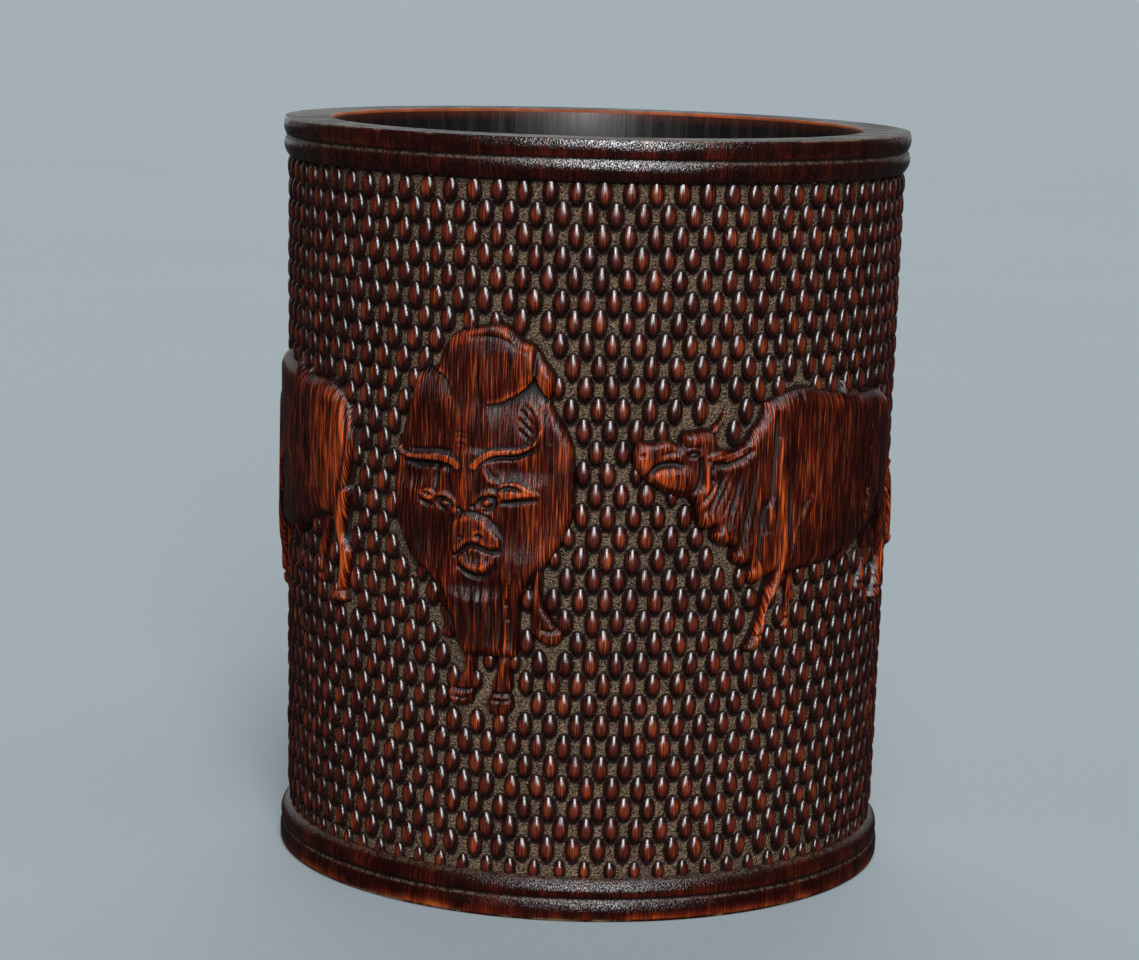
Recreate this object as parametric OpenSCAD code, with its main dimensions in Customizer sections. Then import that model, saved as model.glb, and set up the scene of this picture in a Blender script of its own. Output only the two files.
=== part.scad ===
// Carved bamboo brush pot: a culm cut to length, carved outside, bored inside and closed by an inset board.
// The origin is the centre of the foot's resting plane, +Z is up and -Y is the front.

/* [Pot] */
// Height of the pot
pot_h = 176; // [150:1:200]
// Radius over the lip's beads
lip_r = 75; // [73:0.5:80]
// Radius over the foot's beads
foot_r = 73.8; // [73:0.1:80]
// Radius of the bore
bore_r = 63.2; // [60:0.1:64]

/* [Mouldings] */
// Height of the lip's moulded band
lip_band_h = 9.6; // [8:0.1:12]
// Height of the foot's moulded band
foot_band_h = 9.6; // [8:0.1:12]
// How far the beads along the lip's and the foot's edges bulge
edge_bulge = 0.6; // [0.4:0.1:0.8]
// How far the beads next to the carved ground bulge
inner_bulge = 0.95; // [0.5:0.05:1.2]
// Depth of the carved ground below the lip's beads
lip_sink = 2.7; // [2:0.1:3]
// Depth of the carved ground below the foot's beads
foot_sink = 3.4; // [2:0.1:3.5]

/* [Base] */
// Thickness of the base board
board_t = 7; // [5:0.5:9]
// Height of the board's underside above the resting plane
board_recess = 1.5; // [1:0.1:3]
// Radius of the rebate that the board sits in
rebate_r = 67.1; // [66.6:0.1:67.5]
// Gap between the board's edge and the rebate
board_gap = 0.1; // [0.1:0.05:0.2]
// Diameter of a base pin
pin_d = 2; // [1.6:0.1:2.2]
// Number of base pins
pin_count = 6; // [4:1:8]
// Length of a base pin
pin_l = 15; // [12:1:20]

/* [Hidden] */
$fn = 96;

lip_arris = 0.8;        // radius of the lip's inner edge
edge_break = 0.4;       // small chamfers on the foot and the board
band_step = 0.3;        // height over which a band drops to the ground
lip_groove = 0.54;      // where the lip band's groove runs, as a share of its height
foot_groove = 0.55;     // where the foot band's groove runs, as a share of its height
edge_in = 0.45;         // how far the lip's and the foot's edges lie inside the widest bead
groove_in = 0.75;       // how far the grooves between beads lie inside the widest bead
lip_root = 1.6;         // how far the lip's lower bead has shrunk where it meets the ground
foot_root = 1.9;        // how far the foot's upper bead has shrunk where it meets the ground
through = 1;            // how far a drilled hole starts outside the solid it goes into
skin_sink = 0.6;        // how far the raised figures' faces lie under the beads
relief_root = 2;        // how far the figures reach down inside the wall
board_top = board_recess + board_t;
pin_ring_r = (bore_r + rebate_r) / 2;
lip_ground_r = lip_r - lip_sink;
foot_ground_r = foot_r - foot_sink;
ground_top = pot_h - lip_band_h;

// The figures lie on the unrolled wall: arc length to the right of the front, and height over the hooves.
unroll_r = 74;          // radius at which arc lengths are measured
front_hoof_z = 46.6;
side_hoof_z = 60;

// An arc from point a to point b that bulges by s to the left of the way there.
function bulge(a, b, s, n = 12) =
    let (d = b - a, c = norm(d), r = c * c / (8 * s) + s / 2, half = asin(c / 2 / r),
         side = [-d.y, d.x] / c, mid = (a + b) / 2 - side * (r - s))
    [for (i = [0:n]) let (t = half * (2 * i / n - 1)) mid + (side * cos(t) + d / c * sin(t)) * r];

// Catmull-Rom curve through a closed ring of points.
function ring(p, n = 3) =
    [for (i = [0:len(p) - 1], k = [0:n - 1])
        let (m = len(p), a = p[(i + m - 1) % m], b = p[i], c = p[(i + 1) % m], d = p[(i + 2) % m],
             t = k / n)
        (2 * b + (c - a) * t + (2 * a - 5 * b + 4 * c - d) * t * t
         + (3 * b - a - 3 * c + d) * t * t * t) / 2];

// Half section of the wall: foot, carved ground, lip and bore.
function wall_section() =
    let (foot_edge = foot_r - edge_in,
         foot_split = [foot_r - groove_in, foot_band_h * foot_groove],
         lip_split = [lip_r - groove_in, ground_top + lip_band_h * lip_groove])
    concat(
        [[rebate_r, 0], [foot_edge - edge_break, 0]],
        bulge([foot_edge, edge_break], foot_split, -edge_bulge),
        bulge(foot_split, [foot_r - foot_root, foot_band_h], -inner_bulge),
        [[foot_ground_r, foot_band_h + band_step], [lip_ground_r, ground_top - band_step]],
        bulge([lip_r - lip_root, ground_top], lip_split, -inner_bulge),
        bulge(lip_split, [lip_r - edge_in, pot_h], -edge_bulge),
        [for (t = [0:15:90])
            [bore_r + lip_arris * (1 - sin(t)), pot_h - lip_arris * (1 - cos(t))]],
        [[bore_r, board_top], [rebate_r, board_top]]);

// Head-on ox, about the middle of its chest.
front_ox = [
    [-5, 86.4], [0.4, 87.7], [3, 88.6], [6.6, 87.8], [9.2, 85.4], [12.5, 83.9], [15, 80.5], [17, 78],
    [17.7, 76.2], [17.4, 74], [16.4, 71.9], [18, 68.5], [19.7, 66], [21, 63.5], [22, 59.6], [22.4, 50.4],
    [21.5, 44.1], [19.2, 38.9], [16, 34.3], [13.3, 31.5], [10.8, 27.5], [10.3, 23], [10, 17], [9.6, 13.2],
    [5, 12.8], [0, 13], [-2.8, 12.8], [-4.6, 15.2], [-6, 19], [-6.9, 21], [-9.7, 24.2], [-10.3, 27.3],
    [-12.8, 30.3], [-14.8, 31.5], [-17.7, 34.2], [-20.6, 39.8], [-22.1, 44.4], [-22.6, 50.4], [-21.7, 56.4],
    [-20.5, 60], [-20.1, 63], [-19, 67], [-17.8, 70.5], [-17, 73.5], [-16, 76], [-14, 77.2], [-11.2, 78],
    [-10.4, 80], [-9.2, 82.5], [-7.5, 85]];
front_legs = [
    [[-3.2, 15.5], [-3, 10.7], [-3.8, 8.6], [-5.1, 6.6], [-6.7, 5.2], [-7.1, 3.9], [-6.6, 2.1], [-5.1, 1.3],
     [-3.8, 1], [-2.2, 1.4], [-0.7, 2.6], [-0.3, 4.5], [-0.5, 6.3], [-0.2, 8.5], [-0.3, 15.5]],
    [[5.2, 15.5], [5.1, 10.3], [4.2, 7.9], [3.7, 6], [3.8, 4.8], [2.9, 3.4], [2.7, 1.6], [3.3, 0.3],
     [4.8, -0.4], [6.9, -0.5], [8.3, 0.4], [9.1, 2], [9, 3.9], [8.4, 5.2], [9, 6.5], [8.7, 8.7], [8.4, 11],
     [9, 15.5]],
    [[15.2, 35.5], [13, 33.5], [12.7, 24.4], [12.8, 20.5], [13.6, 18.5], [14.9, 17.3], [16.4, 16.4],
     [18, 16.2], [19.8, 17.2], [20.5, 18.9], [20.3, 20], [18.7, 21.2], [17.2, 23.3], [15.9, 25.3],
     [15.4, 27.6], [15.3, 30.2]]];

// Ox seen from the side and facing left, in overlapping pieces about the middle of its back.
fore_body = [
    [-14, 55], [-10.2, 58.8], [-6.4, 60.3], [-2.1, 61], [2.1, 60.4], [8.6, 59.2], [15.7, 58.3], [20, 56],
    [20, 24], [12, 20], [5, 18.9], [-1, 18.3], [-5, 18], [-8, 19], [-13, 30]];
rear_body = [
    [12, 58.6], [15.7, 58.3], [22.9, 57.9], [28.6, 58.1], [33.6, 57], [37.5, 54.5], [40, 50.5], [41, 45],
    [40.5, 39], [39, 33], [37, 27], [31, 26], [25, 24.5], [21, 22.3], [17, 21], [12, 20]];
side_legs = [
    [[-13, 27], [-10, 19.5], [-11.6, 14.3], [-13, 8.5], [-14.7, 4.5], [-16.4, 1.8], [-14.5, 0.7], [-12, 2],
     [-11.1, 5], [-10.5, 10.6], [-7.8, 15], [-6.4, 19], [-5, 27]],
    [[-5, 20], [-4.2, 13], [-4.8, 8], [-6, 6], [-4.5, 5], [-2.7, 5.6], [-2.8, 10], [-2.2, 20]],
    [[33, 30], [35.5, 22], [36.5, 17], [35.5, 11], [33.5, 7.5], [35, 6.4], [38.5, 7], [38, 9.5], [39.5, 14],
     [40.5, 19], [38.5, 22], [38.5, 26], [40, 34]],
    [[24, 27], [27, 20], [26, 14], [24.8, 10.8], [26.2, 9.6], [28.6, 10.2], [28.6, 15], [30, 20], [31, 27]]];
raised_head = [
    [-45.4, 46.4], [-44.8, 48.8], [-43.4, 50], [-40.7, 49.7], [-37.1, 50.4], [-34.8, 49.2], [-33.7, 51.8],
    [-30.7, 52.2], [-26.8, 52.3], [-25.2, 50.4], [-24.6, 48.4], [-21.5, 47.4], [-18.6, 49], [-16.4, 51.8],
    [-14.3, 54.3], [-12.5, 57], [-10.2, 58.6], [-6, 57], [-4, 40], [-7, 21], [-11.8, 17.6], [-14.2, 16.2],
    [-16, 17.2], [-16.8, 19], [-16.3, 20.8], [-18.6, 21], [-20.4, 22.1], [-21, 23.7], [-20.5, 25.2],
    [-23.3, 25.8], [-25.3, 26.8], [-26.1, 28.4], [-25.6, 29.9], [-27.6, 29.4], [-29.4, 30.8], [-30, 32.8],
    [-30.6, 35], [-31.8, 36.8], [-34.4, 37.2], [-37.9, 38.2], [-40.4, 40], [-42.9, 41.5], [-44.8, 43.8]];
raised_horn = [
    [-27.1, 52], [-25.4, 53.6], [-24, 55.6], [-23.1, 57.2], [-23.5, 54.9], [-24.6, 52.6], [-25.8, 51]];
lowered_head = [
    [-10.2, 58.6], [-14, 56.5], [-19, 52], [-24, 46], [-28, 41.5], [-31.5, 39.5], [-34.5, 36], [-37.5, 30],
    [-40, 23.5], [-41.6, 18.5], [-41, 15.2], [-38.4, 14], [-36, 16], [-34, 20], [-31.5, 24], [-28.6, 26],
    [-26, 27.5], [-23, 24.5], [-19, 21], [-15, 18], [-8, 21], [-4, 40], [-6, 57]];
lowered_horn = [
    [-31.5, 39.5], [-34.5, 41.5], [-36.2, 44.4], [-35.8, 46.6], [-33.8, 44.5], [-31.8, 42.4], [-29.5, 40.9]];

// Arc position of each ox from the front, and for the side views the head and the way they face.
front_spot = -25;
side_spots = [[55, "raised", 1], [157, "lowered", 1], [260, "raised", -1], [-102, "lowered", 1]];

// One raised shape: its outline stands square to the wall at the outline's own middle.
module raised(outline, spot, base_z, facing = 1) {
    arcs = [for (p = outline) p.x * facing];
    middle = (min(arcs) + max(arcs)) / 2;
    turn = (spot + middle) / unroll_r * 180 / PI;
    flat = [for (p = ring(outline))
        [unroll_r * sin((p.x * facing - middle) / unroll_r * 180 / PI), p.y + base_z]];
    rotate([90, 0, turn])
        translate([0, 0, foot_ground_r - relief_root])
            linear_extrude(lip_r - foot_ground_r + relief_root)
                polygon(flat);
}

module head_on_ox() {
    for (outline = concat([front_ox], front_legs))
        raised(outline, front_spot, front_hoof_z);
}

module side_ox(spot, head, facing) {
    head_shapes = head == "raised" ? [raised_head, raised_horn] : [lowered_head, lowered_horn];
    for (outline = concat([fore_body, rear_body], side_legs, head_shapes))
        raised(outline, spot, side_hoof_z, facing);
}

// The culm's own skin, which the faces of the figures are left from.
module culm_skin() {
    rotate_extrude()
        polygon([[foot_ground_r - relief_root, foot_band_h], [foot_r - skin_sink, foot_band_h],
                 [lip_r - skin_sink, ground_top], [foot_ground_r - relief_root, ground_top]]);
}

module pin_places() {
    for (i = [0:pin_count - 1])
        rotate([0, 0, (i + 0.5) * 360 / pin_count])
            translate([pin_ring_r, 0, 0])
                children();
}

module bamboo_wall() {
    color("#54200f")
        difference() {
            union() {
                rotate_extrude() polygon(wall_section());
                intersection() {
                    culm_skin();
                    union() {
                        head_on_ox();
                        for (s = side_spots) side_ox(s[0], s[1], s[2]);
                    }
                }
            }
            pin_places()
                translate([0, 0, board_recess - through])
                    cylinder(d = pin_d, h = pin_l + through);
        }
}

module base_board() {
    r = rebate_r - board_gap;
    color("#3a1a10")
        difference() {
            rotate_extrude()
                polygon([[0, board_recess], [r - edge_break, board_recess], [r, board_recess + edge_break],
                         [r, board_top], [0, board_top]]);
            pin_places()
                translate([0, 0, board_recess - through])
                    cylinder(d = pin_d, h = board_t + 2 * through);
        }
}

module base_pins() {
    color("#c79a5b")
        pin_places()
            translate([0, 0, board_recess])
                cylinder(d = pin_d, h = pin_l);
}

bamboo_wall();
base_board();
base_pins();
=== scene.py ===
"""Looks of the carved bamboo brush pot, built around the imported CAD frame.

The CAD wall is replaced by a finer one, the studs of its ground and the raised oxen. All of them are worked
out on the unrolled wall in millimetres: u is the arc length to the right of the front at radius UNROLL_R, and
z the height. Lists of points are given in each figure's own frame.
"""
import math
from functools import cached_property, partialmethod

import bpy
import numpy as np
from mathutils import Matrix, Vector


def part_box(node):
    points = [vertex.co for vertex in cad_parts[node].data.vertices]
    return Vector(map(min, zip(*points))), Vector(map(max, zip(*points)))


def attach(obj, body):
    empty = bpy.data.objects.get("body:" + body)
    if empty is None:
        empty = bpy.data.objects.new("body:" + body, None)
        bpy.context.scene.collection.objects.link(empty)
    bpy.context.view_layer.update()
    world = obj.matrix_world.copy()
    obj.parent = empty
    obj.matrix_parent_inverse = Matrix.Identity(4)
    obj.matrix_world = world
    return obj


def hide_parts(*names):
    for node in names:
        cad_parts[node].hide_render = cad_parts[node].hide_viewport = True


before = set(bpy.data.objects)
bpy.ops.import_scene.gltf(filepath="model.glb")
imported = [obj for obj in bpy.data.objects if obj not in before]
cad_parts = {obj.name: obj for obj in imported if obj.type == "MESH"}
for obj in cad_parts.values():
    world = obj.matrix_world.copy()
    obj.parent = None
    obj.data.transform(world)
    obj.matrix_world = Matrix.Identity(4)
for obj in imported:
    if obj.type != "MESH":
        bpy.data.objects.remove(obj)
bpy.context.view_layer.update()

MM = 0.001
wall_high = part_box("bamboo_wall")[1]
board_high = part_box("base_board")[1]

# ---------------------------------------------------------------- sizes, in millimetres
POT_H = wall_high.z / MM
LIP_R = wall_high.x / MM
FOOT_R = LIP_R - 1.2
BORE_R = 63.2
REBATE_R = board_high.x / MM + 0.1
SHOULDER_Z = board_high.z / MM
ARRIS = 0.8              # rounding of the lip's inner edge
UNROLL_R = 74.0
AROUND = 2 * math.pi * UNROLL_R
WALL_COLUMNS = 480

# Bottom, groove and top of the two-beaded bands: heights, and how far in from LIP_R or FOOT_R they lie
LIP_BAND = (POT_H - 9.6, POT_H - 4.4, POT_H)
LIP_INSETS = (1.6, 0.75, 0.45)
FOOT_BAND = (0.3, 5.3, 9.6)
FOOT_INSETS = (0.45, 0.75, 1.9)

GROUND_LOW_R = FOOT_R - 3.4
GROUND_HIGH_R = LIP_R - 2.7
GROUND_COLUMNS = 720
GROUND_ROWS = 132
GROUND_THICK = 1.6
GROUND_LAP = 0.2         # how far the carved ground runs on into the bands

STUD_COLUMNS = 78
STUD_ROW = 4.78          # height from one row of studs to the next
STUD_ROWS = range(-24, 9)
STUD_FIRST = (1.8, 125.6)
STUD_SIZE = (1.93, 3.12, 1.5)     # half width, half height, relief
STUD_CORNERS = 16

RELIEF = 2.95            # how far the oxen stand over the ground
CUT_DEPTH = 1.35         # deepens every stroke cut into the oxen
GRID = 0.3               # spacing of the oxen's surface points
BACK = 2.4               # how far the oxen reach into the wall
OX_SKIRT = 0.8           # how far the oxen's surface runs on past their outline
OX_SINK = 2.0            # how far it dips below the ground there
SIDE_OX_Z = 60.0         # the height on the pot at which the figures' own z starts
FRONT_OX_Z = 46.6


def ground_r(z):
    """Radius of the carved ground at height z."""
    rise = (z - FOOT_BAND[2]) / (LIP_BAND[0] - FOOT_BAND[2])
    return GROUND_LOW_R + (GROUND_HIGH_R - GROUND_LOW_R) * rise


def short_way(u):
    """The same arc length within half a turn of 0."""
    return (u + AROUND / 2) % AROUND - AROUND / 2


def smooth(t):
    t = np.clip(t, 0, 1)
    return t * t * (3 - 2 * t)


def lattice_noise(u, z, cells, tall, seed):
    """Smooth noise from -1 to 1 on a random lattice, that many cells round the pot and each one tall high."""
    column, row = u / AROUND * cells, z / tall
    row = row - np.floor(row.min())
    table = np.random.default_rng(seed).uniform(-1, 1, (cells, int(row.max()) + 2))
    i, j = np.floor(column).astype(int), np.floor(row).astype(int)
    a, b = smooth(column - i), smooth(row - j)
    left = table[i % cells, j] * (1 - b) + table[i % cells, j + 1] * b
    right = table[(i + 1) % cells, j] * (1 - b) + table[(i + 1) % cells, j + 1] * b
    return left * (1 - a) + right * a


def on_pot(u, z, r):
    """Points in metres from arc length, height and radius in millimetres. The front, u = 0, is at -Y."""
    t = np.asarray(u) / UNROLL_R
    return np.stack([r * np.sin(t), -r * np.cos(t), z + 0 * t], -1).reshape(-1, 3) * MM


# ---------------------------------------------------------------- meshes
def new_piece(name, points, quads, materials, faces_of=None, values=None, flat=None):
    """Adds a mesh that rides on the pot in place of the CAD wall.

    faces_of gives each face's material, values one number a point under each name, and flat the faces left
    unsmoothed.
    """
    mesh = bpy.data.meshes.new(name)
    quads = np.asarray(quads, np.int32)
    mesh.vertices.add(len(points))
    mesh.vertices.foreach_set("co", np.asarray(points, np.float32).ravel())
    mesh.loops.add(quads.size)
    mesh.loops.foreach_set("vertex_index", quads.ravel())
    mesh.polygons.add(len(quads))
    mesh.polygons.foreach_set("loop_start", np.arange(0, quads.size, 4, dtype=np.int32))
    mesh.polygons.foreach_set("loop_total", np.full(len(quads), 4, np.int32))
    mesh.polygons.foreach_set("use_smooth", np.ones(len(quads), bool) if flat is None else ~flat)
    if faces_of is not None:
        mesh.polygons.foreach_set("material_index", np.asarray(faces_of, np.int32))
    mesh.update(calc_edges=True)
    for key, numbers in (values or {}).items():
        attribute = mesh.attributes.new(key, "FLOAT", "POINT")
        attribute.data.foreach_set("value", np.asarray(numbers, np.float32))
    for material in materials:
        mesh.materials.append(material)
    piece = bpy.data.objects.new(name, mesh)
    bpy.context.scene.collection.objects.link(piece)
    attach(piece, "root")
    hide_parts("bamboo_wall")


# ---------------------------------------------------------------- materials
class Channel:
    """A number or colour that varies over a surface. Channels and numbers combine by plain arithmetic."""

    def __init__(self, socket):
        self.socket = socket

    def maths(self, operation, *others):
        made = self.socket.id_data.nodes.new("ShaderNodeMath")
        made.operation = operation
        for place, value in zip(made.inputs, (self, *others)):
            put(place, value)
        return Channel(made.outputs[0])

    __add__ = partialmethod(maths, "ADD")
    __sub__ = partialmethod(maths, "SUBTRACT")
    __mul__ = partialmethod(maths, "MULTIPLY")
    __truediv__ = partialmethod(maths, "DIVIDE")

    def spread(self, low, high, to_low=0.0, to_high=1.0):
        """Maps low..high to to_low..to_high with soft ends."""
        made = self.socket.id_data.nodes.new("ShaderNodeMapRange")
        made.interpolation_type = "SMOOTHSTEP"
        for key, value in (("Value", self), ("From Min", low), ("From Max", high),
                           ("To Min", to_low), ("To Max", to_high)):
            put(made.inputs[key], value)
        return Channel(made.outputs[0])

    def blend(self, a, b):
        """Colour a where this channel is 0 and b where it is 1."""
        made = self.socket.id_data.nodes.new("ShaderNodeMix")
        made.data_type = "RGBA"
        put(made.inputs[0], self)
        for place, value in ((6, a), (7, b)):
            put(made.inputs[place], value if isinstance(value, Channel) else (*value, 1.0))
        return Channel(made.outputs[2])


def put(socket, value):
    """Links a channel to the socket, or sets the number or colour on it."""
    if isinstance(value, Channel):
        socket.id_data.links.new(value.socket, socket)
    elif value is not None:
        socket.default_value = value


class Look:
    """A material in the making. Its channels u, r and z are arc length, radius and height in millimetres."""

    def __init__(self, name):
        self.material = bpy.data.materials.new(name)
        self.material.use_nodes = True
        self.tree = self.material.node_tree
        self.shader = self.tree.nodes["Principled BSDF"]
        self.place = self.node("ShaderNodeTexCoord", "Object")

    @cached_property
    def u(self):
        return self.axis("X").maths("ARCTAN2", self.axis("Y") * -1.0) * UNROLL_R

    @cached_property
    def r(self):
        x, y = self.axis("X"), self.axis("Y")
        return (x * x + y * y).maths("SQRT") / MM

    @cached_property
    def z(self):
        return self.axis("Z") / MM

    def axis(self, name):
        return self.node("ShaderNodeSeparateXYZ", name, {0: self.place})

    def node(self, kind, output, inputs=(), **settings):
        made = self.tree.nodes.new(kind)
        for key, value in settings.items():
            setattr(made, key, value)
        for key, value in dict(inputs).items():
            put(made.inputs[key], value)
        return Channel(made.outputs[output])

    def attribute(self, name):
        return self.node("ShaderNodeAttribute", "Fac", attribute_name=name, attribute_type="GEOMETRY")

    def noise(self, place, scale, detail, roughness=0.5):
        return self.node("ShaderNodeTexNoise", "Fac", {"Vector": place, "Scale": scale, "Detail": detail,
                                                       "Roughness": roughness})

    def streaks(self, across, along, detail=2.0, offset=0.0, depth=None):
        """Noise drawn out along the culm: features are across wide and along tall, in millimetres."""
        scaled = {0: self.u.maths("MULTIPLY_ADD", 1 / across, offset), 1: self.r / (depth or across),
                  2: self.z / along}
        return self.noise(self.node("ShaderNodeCombineXYZ", "Vector", scaled), 1.0, detail, 0.6)

    def specks(self, size, detail=3.0):
        """Even noise with features of about size, in millimetres."""
        return self.noise(self.place, 1 / (size * MM), detail, 0.65)

    def bump(self, height, distance, below=None):
        """A bump of that height map; distance in millimetres is the height of one whole unit."""
        settings = {"Height": height, "Distance": distance * MM, "Strength": 1.0, "Normal": below}
        return self.node("ShaderNodeBump", "Normal", settings)

    def stained_fibres(self, glow, contrast, brown, ember):
        """Dark stain over fibre bundles that shine through orange, more so where glow is high.

        Gives the colour, the bundles and the fine fibres.
        """
        bundles = self.streaks(0.24, 10.0, detail=1.0, depth=8.0)
        fine = self.streaks(0.13, 6.0, detail=1.0, offset=40.0, depth=8.0)
        patches = self.streaks(5.0, 12.0, offset=9.0)
        light = (bundles * 0.55 + fine * 0.45).maths("MULTIPLY_ADD", contrast, 0.5 * (1 - contrast))
        light = light + (patches - 0.5) * 0.28 + glow
        base = light.spread(0.40, 0.56).blend(DARK, brown)
        return light.spread(0.54, 0.78).blend(base, ember), bundles, fine

    def done(self, base, roughness, normal=None, specular=None):
        """The finished material. Whatever is left out keeps the shader's own value."""
        for key, value in (("Base Color", base), ("Roughness", roughness), ("Normal", normal),
                           ("Specular IOR Level", specular)):
            put(self.shader.inputs[key], value)
        return self.material


# Stains and dust, as linear red, green and blue; DARK also serves as painted shade on the studs' flanks and
# in the oxen's recesses
DARK = (0.0070, 0.0010, 0.0006)
BROWN = (0.055, 0.0060, 0.0021)
EMBER = (0.31, 0.060, 0.0085)
OX_BROWN = (0.042, 0.0044, 0.0015)
OX_EMBER = (0.42, 0.066, 0.0095)
DUST = (0.138, 0.088, 0.053)


def ground_material():
    """The ground between the studs: punched, dull and dusty, with painted shade close to whatever stands on
    it.
    """
    look = Look("stippled_ground")
    shade = look.attribute("shade")
    marks = look.node("ShaderNodeTexVoronoi", "Distance", {"Vector": look.place, "Scale": 1 / (0.6 * MM),
                                                           "Randomness": 1.0}, feature="F1")
    grit = look.specks(0.36, detail=1.0)
    # painted shade: the shade mask takes the dust off and darkens the ground towards each stud, ox and band
    dusty = (grit + look.specks(6.0) * 0.3).spread(0.64, 0.72) * shade.spread(0.9, 0.3)
    base = marks.spread(0.2, 0.6).blend((0.004, 0.0025, 0.002), (0.046, 0.028, 0.018))
    base = shade.spread(0.2, 1.0, 0.0, 0.9).blend(base, (0.008, 0.004, 0.003))
    return look.done(dusty.blend(base, DUST), grit.spread(0.3, 0.7, 0.6, 0.9),
                     look.bump(grit, 0.3, look.bump(marks, 0.4)), specular=0.15)


def band_material():
    """The beaded bands: dark semi-gloss, open pores, orange low on each bead, dusty grooves and painted
    shadow at bead feet.
    """
    look = Look("beaded_band")
    hollow, under, bare, bead_shadow = (look.attribute(name) for name in ("hollow", "under", "bare", "bead_shadow"))
    glow = under * look.specks(30.0).spread(0.40, 0.58, 0.06, 0.26)
    tone, _, fine = look.stained_fibres(glow - 0.09, 0.5, BROWN, EMBER)
    # painted shadow: near-black at the foot of each bead
    tone = bead_shadow.blend(tone, (0.004, 0.002, 0.002))
    pores = look.streaks(0.24, 0.48, detail=1.0, offset=17.0)
    dusty = hollow * look.specks(0.9, 1.0).spread(0.44, 0.60, 0.1, 1.0)
    worn = bare * (look.specks(9.0) + fine * 0.35).spread(0.64, 0.80)
    base = dusty.blend(tone, (0.085, 0.058, 0.036))
    return look.done(worn.blend(base, (0.28, 0.17, 0.09)),
                     pores.spread(0.4, 0.6, 0.16, 0.30) + hollow * 0.3, look.bump(pores, 0.10),
                     specular=pores.spread(0.42, 0.56, 1.2, 0.08) * look.z.spread(8, 120, 0.48, 1.0))


def rim_material():
    """End grain on top of the lip: satin over cloudy stain, with an orange line where the bore begins."""
    look = Look("lip_end_grain")
    ends, cloudy = look.streaks(0.6, 40.0), look.specks(9.0)
    base = ends.spread(0.42, 0.66).blend((0.008, 0.0065, 0.005), (0.040, 0.034, 0.026))
    base = cloudy.spread(0.44, 0.62).blend(base, (0.008, 0.006, 0.005))
    glow = look.r.spread(BORE_R + 1.1, BORE_R + 0.3) * cloudy.spread(0.38, 0.58, 0.95, 0.6)
    return look.done(glow.blend(base, (0.20, 0.040, 0.009)), cloudy.spread(0.35, 0.65, 0.50, 0.66),
                     look.bump(ends, 0.10), specular=0.14)


def lacquer_material():
    """The bore: scraped smooth and coated with near-black lacquer, which pools in faint vertical streaks."""
    look = Look("bore_lacquer")
    runs, fine = look.streaks(2.6, 60.0, detail=3.0), look.streaks(0.5, 30.0, offset=5.0)
    base = runs.spread(0.4, 0.7).blend((0.003, 0.0025, 0.0025), (0.009, 0.006, 0.005))
    warm = look.z.spread(POT_H - 3.4, POT_H - 0.8) * fine.spread(0.35, 0.62, 0.4, 1.0)
    return look.done(warm.blend(base, (0.042, 0.008, 0.0034)), runs.spread(0.35, 0.68, 0.34, 0.44),
                     look.bump(runs, 0.08, look.bump(fine, 0.02)), specular=0.42)


def foot_material():
    """The sawn foot and the rebate under it: bare, rubbed and grubby bamboo."""
    look = Look("sawn_foot")
    ends, rubbed = look.streaks(0.7, 40.0), look.specks(7.0)
    base = ends.spread(0.4, 0.65).blend((0.12, 0.062, 0.028), (0.36, 0.235, 0.12))
    return look.done(rubbed.spread(0.42, 0.7).blend(base, (0.035, 0.018, 0.010)),
                     rubbed.spread(0.3, 0.7, 0.5, 0.8), look.bump(ends, 0.15))


def stud_material():
    """The studs: glossy tops, painted light on the crowns and painted shade on the dull flanks, each stained
    a little differently.
    """
    look = Look("stud_bamboo")
    tone, lift = look.attribute("tone"), look.attribute("lift")
    # painted light: each stud runs orange towards its crown and darker towards its foot
    glow = (tone - 0.5) * 0.07 + lift.spread(0.60, 1.0, -0.12, 0.05)
    shade, bundles, fine = look.stained_fibres(glow, 0.75, BROWN, EMBER)
    flank = lift.spread(0.45, 0.1)
    dusty = flank * look.specks(0.5).spread(0.45, 0.7)
    # painted shade: the flanks turn DARK, with a little dust over it
    return look.done(dusty.blend(flank.blend(shade, DARK), (0.038, 0.024, 0.016)),
                     fine.spread(0.35, 0.65, 0.17, 0.27) + flank * 0.3,
                     look.bump(fine, 0.02, look.bump(bundles, 0.03)),
                     specular=flank.spread(0.0, 0.8, 0.75, 0.08))


def ox_material():
    """The oxen: rubbed glossy and orange on what stands out, painted shade in what lies deep and near their
    outlines.
    """
    look = Look("ox_bamboo")
    worn, edge = look.attribute("worn"), look.attribute("edge")
    # edge carries painted shade near the outline and spots of painted shade, painted light and stain
    glow = worn * 0.14 + edge * -0.10 - 0.032
    shade, bundles, fine = look.stained_fibres(glow, 1.15, OX_BROWN, OX_EMBER)
    # painted shade: what lies deep turns DARK
    deep = worn.spread(-0.15, -0.75)
    return look.done(deep.blend(shade, DARK), fine.spread(0.35, 0.65, 0.17, 0.29) + deep * 0.3,
                     look.bump(fine, 0.05, look.bump(bundles, 0.20)), specular=0.28)


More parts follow.
